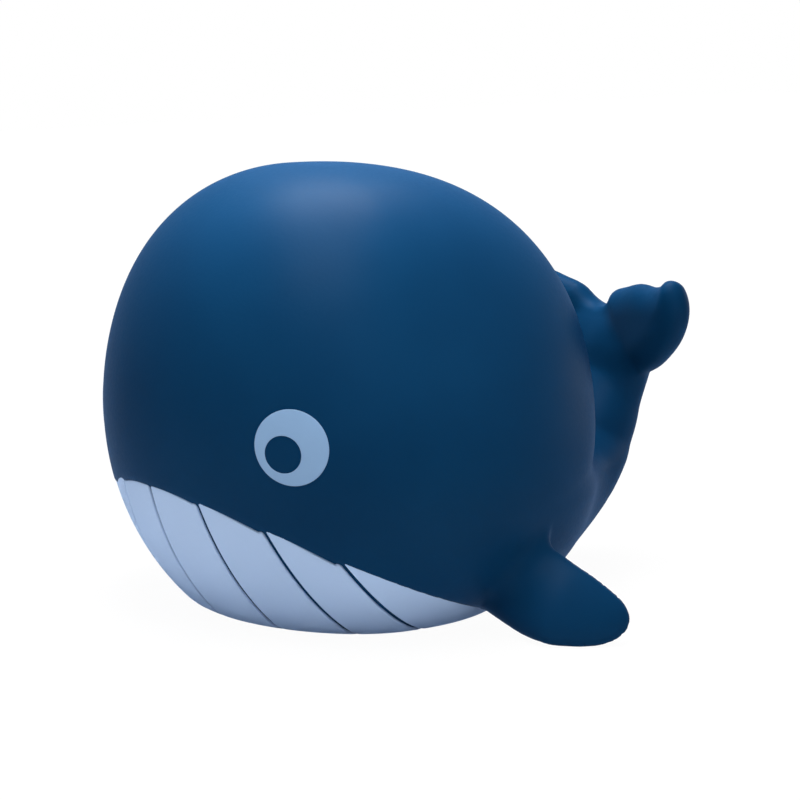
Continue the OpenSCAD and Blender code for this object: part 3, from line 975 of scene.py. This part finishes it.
# Studio: a pale floor that fades to white, in a white surround. The camera sees both as white,
# with the toy's faint shadow, and gloss sees them in pale blue, as the photograph's rims are.
# Soft lights hang above and behind, above and in front, and level at the right rear.
floor_half = 900.0
floor = new_piece(
    "floor",
    [
        (-floor_half, -floor_half, 0),
        (floor_half, -floor_half, 0),
        (floor_half, floor_half, 0),
        (-floor_half, floor_half, 0),
    ],
    [[0, 1, 2, 3]],
    smooth=False,
)


def sees_white(tree):
    """Socket that is 1 for camera, glossy and transmission rays and 0 for the light's own paths."""
    path = tree.nodes.new("ShaderNodeLightPath").outputs
    seen = path["Is Camera Ray"]
    for kind in ("Is Glossy Ray", "Is Transmission Ray"):
        either = node_of(tree, "ShaderNodeMath", _0=seen, _1=path[kind])
        either.operation = "MAXIMUM"
        seen = either.outputs[0]
    return seen


def cool_in_gloss(tree):
    """Socket of the surround's colour: pale blue for glossy rays and white for all others."""
    hue = tree.nodes.new("ShaderNodeMix")
    hue.data_type = "RGBA"
    share, plain, tinted = hue.inputs[0], hue.inputs[6], hue.inputs[7]
    plain.default_value = (1, 1, 1, 1)
    tinted.default_value = (0.4, 0.62, 1.0, 1)
    glossy_ray = tree.nodes.new("ShaderNodeLightPath").outputs["Is Glossy Ray"]
    tree.links.new(glossy_ray, share)
    mixed = hue.outputs[2]
    return mixed


def floor_paper():
    """Floor: diffuse for light, and seen as white paper that keeps a faint shadow.

    Its brightness rises from near the toy to 1, where it meets the surround without a line. From
    below it is clear.
    """
    paper = bpy.data.materials.new("floor_paper")
    paper.use_nodes = True
    tree = paper.node_tree
    tree.nodes.remove(tree.nodes["Principled BSDF"])
    lit = node_of(tree, "ShaderNodeBsdfDiffuse", Color=(0.8, 0.8, 0.8, 1))
    place = tree.nodes.new("ShaderNodeTexCoord").outputs["Object"]
    from_toy = node_of(tree, "ShaderNodeVectorMath", _0=place)
    from_toy.operation = "LENGTH"
    fade = node_of(
        tree,
        "ShaderNodeMapRange",
        Value=from_toy.outputs["Value"],
        From_Min=60 * mm,
        From_Max=300 * mm,
        To_Min=0.965,
        To_Max=1.0,
    )
    white = node_of(
        tree, "ShaderNodeEmission", Color=cool_in_gloss(tree), Strength=fade.outputs["Result"]
    )
    shadowed = node_of(tree, "ShaderNodeBsdfDiffuse", Color=(0.04, 0.04, 0.04, 1))
    shown = node_of(tree, "ShaderNodeAddShader", _0=white.outputs[0], _1=shadowed.outputs[0])
    front = node_of(
        tree,
        "ShaderNodeMixShader",
        _0=sees_white(tree),
        _1=lit.outputs[0],
        _2=shown.outputs[0],
    )
    clear = tree.nodes.new("ShaderNodeBsdfTransparent")
    below = tree.nodes.new("ShaderNodeNewGeometry")
    either = node_of(
        tree,
        "ShaderNodeMixShader",
        _0=below.outputs["Backfacing"],
        _1=front.outputs[0],
        _2=clear.outputs[0],
    )
    tree.links.new(either.outputs[0], tree.nodes["Material Output"].inputs["Surface"])
    return paper


floor.data.materials.append(floor_paper())

world = bpy.data.worlds.new("studio_surround")
bpy.context.scene.world = world
world.use_nodes = True
tree = world.node_tree
sky = tree.nodes["Background"]
level = node_of(tree, "ShaderNodeMapRange", Value=sees_white(tree), To_Min=0.35, To_Max=1.0)
tree.links.new(level.outputs["Result"], sky.inputs["Strength"])
tree.links.new(cool_in_gloss(tree), sky.inputs["Color"])


def soft_light(name, nearer, aside, up, size, power):
    """Square light that faces the ball's middle, from a place measured as the camera sees it.

    The place is so far nearer the camera, aside to its right, and up from the ball's middle.
    """
    data = bpy.data.lights.new(name, "AREA")
    data.shape = "SQUARE"
    data.size = size * mm
    data.energy = power
    lamp = bpy.data.objects.new(name, data)
    bpy.context.scene.collection.objects.link(lamp)
    offset = nearer * toward_camera + aside * camera_right + [0, 0, up]
    back = unit(offset)
    side = unit(np.cross([0, 0, 1.0], back))
    lamp.matrix_world = placement(side, np.cross(back, side), back, ball_middle + offset)
    lamp.visible_camera = False


soft_light("high_back", nearer=-59.5, aside=0, up=222.2, size=160, power=0.7)
soft_light("low_back", nearer=-33.6, aside=0, up=125.6, size=80, power=0.1)
soft_light("low_front", nearer=61, aside=0, up=114.8, size=80, power=0.16)
soft_light("front", nearer=238.3, aside=111.1, up=494.5, size=420, power=0.18)
soft_light("right_rim", nearer=-321.2, aside=458.7, up=0, size=250, power=0.3)

bpy.context.scene.view_settings.view_transform = "Standard"
